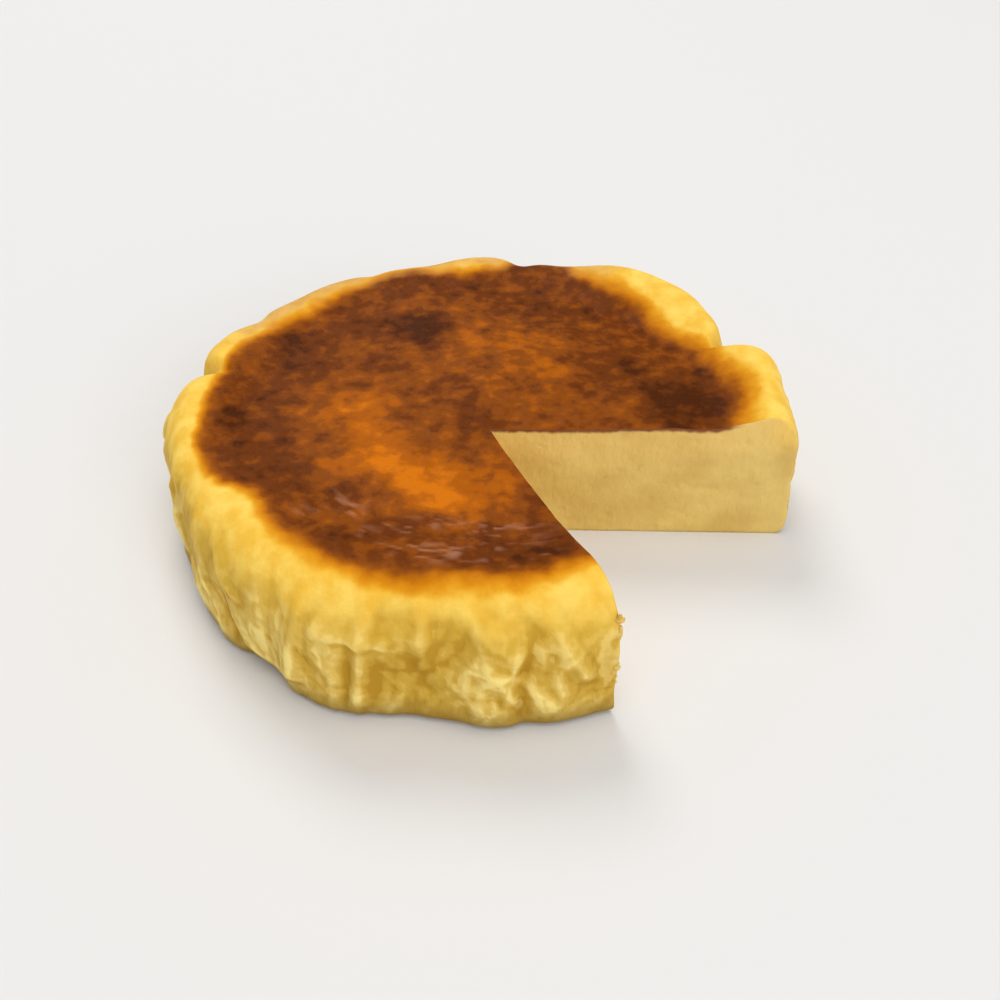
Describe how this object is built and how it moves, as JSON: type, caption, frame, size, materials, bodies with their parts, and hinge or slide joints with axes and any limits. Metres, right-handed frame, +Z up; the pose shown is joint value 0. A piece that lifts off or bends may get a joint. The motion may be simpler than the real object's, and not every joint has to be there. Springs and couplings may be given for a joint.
{
  "type": "baked cheesecake",
  "caption": "Round baked cheesecake with a dark caramelised top, bright yellow shoulder and crinkled paper-moulded wall, with a wedge-shaped slice taken out",
  "frame": {"origin": "middle of the bounding box of the base, on the surface that the cake stands on", "axes": "+Z is up; the missing slice opens towards +X and -Y; one knife cut runs nearly along +X"},
  "size_m": [0.1512, 0.1522, 0.035],
  "materials": {
    "baked_custard": "moist satin, with a glossy brown top"
  },
  "bodies": {
    "root": {"cheesecake": "baked_custard"}
  },
  "joints": []
}
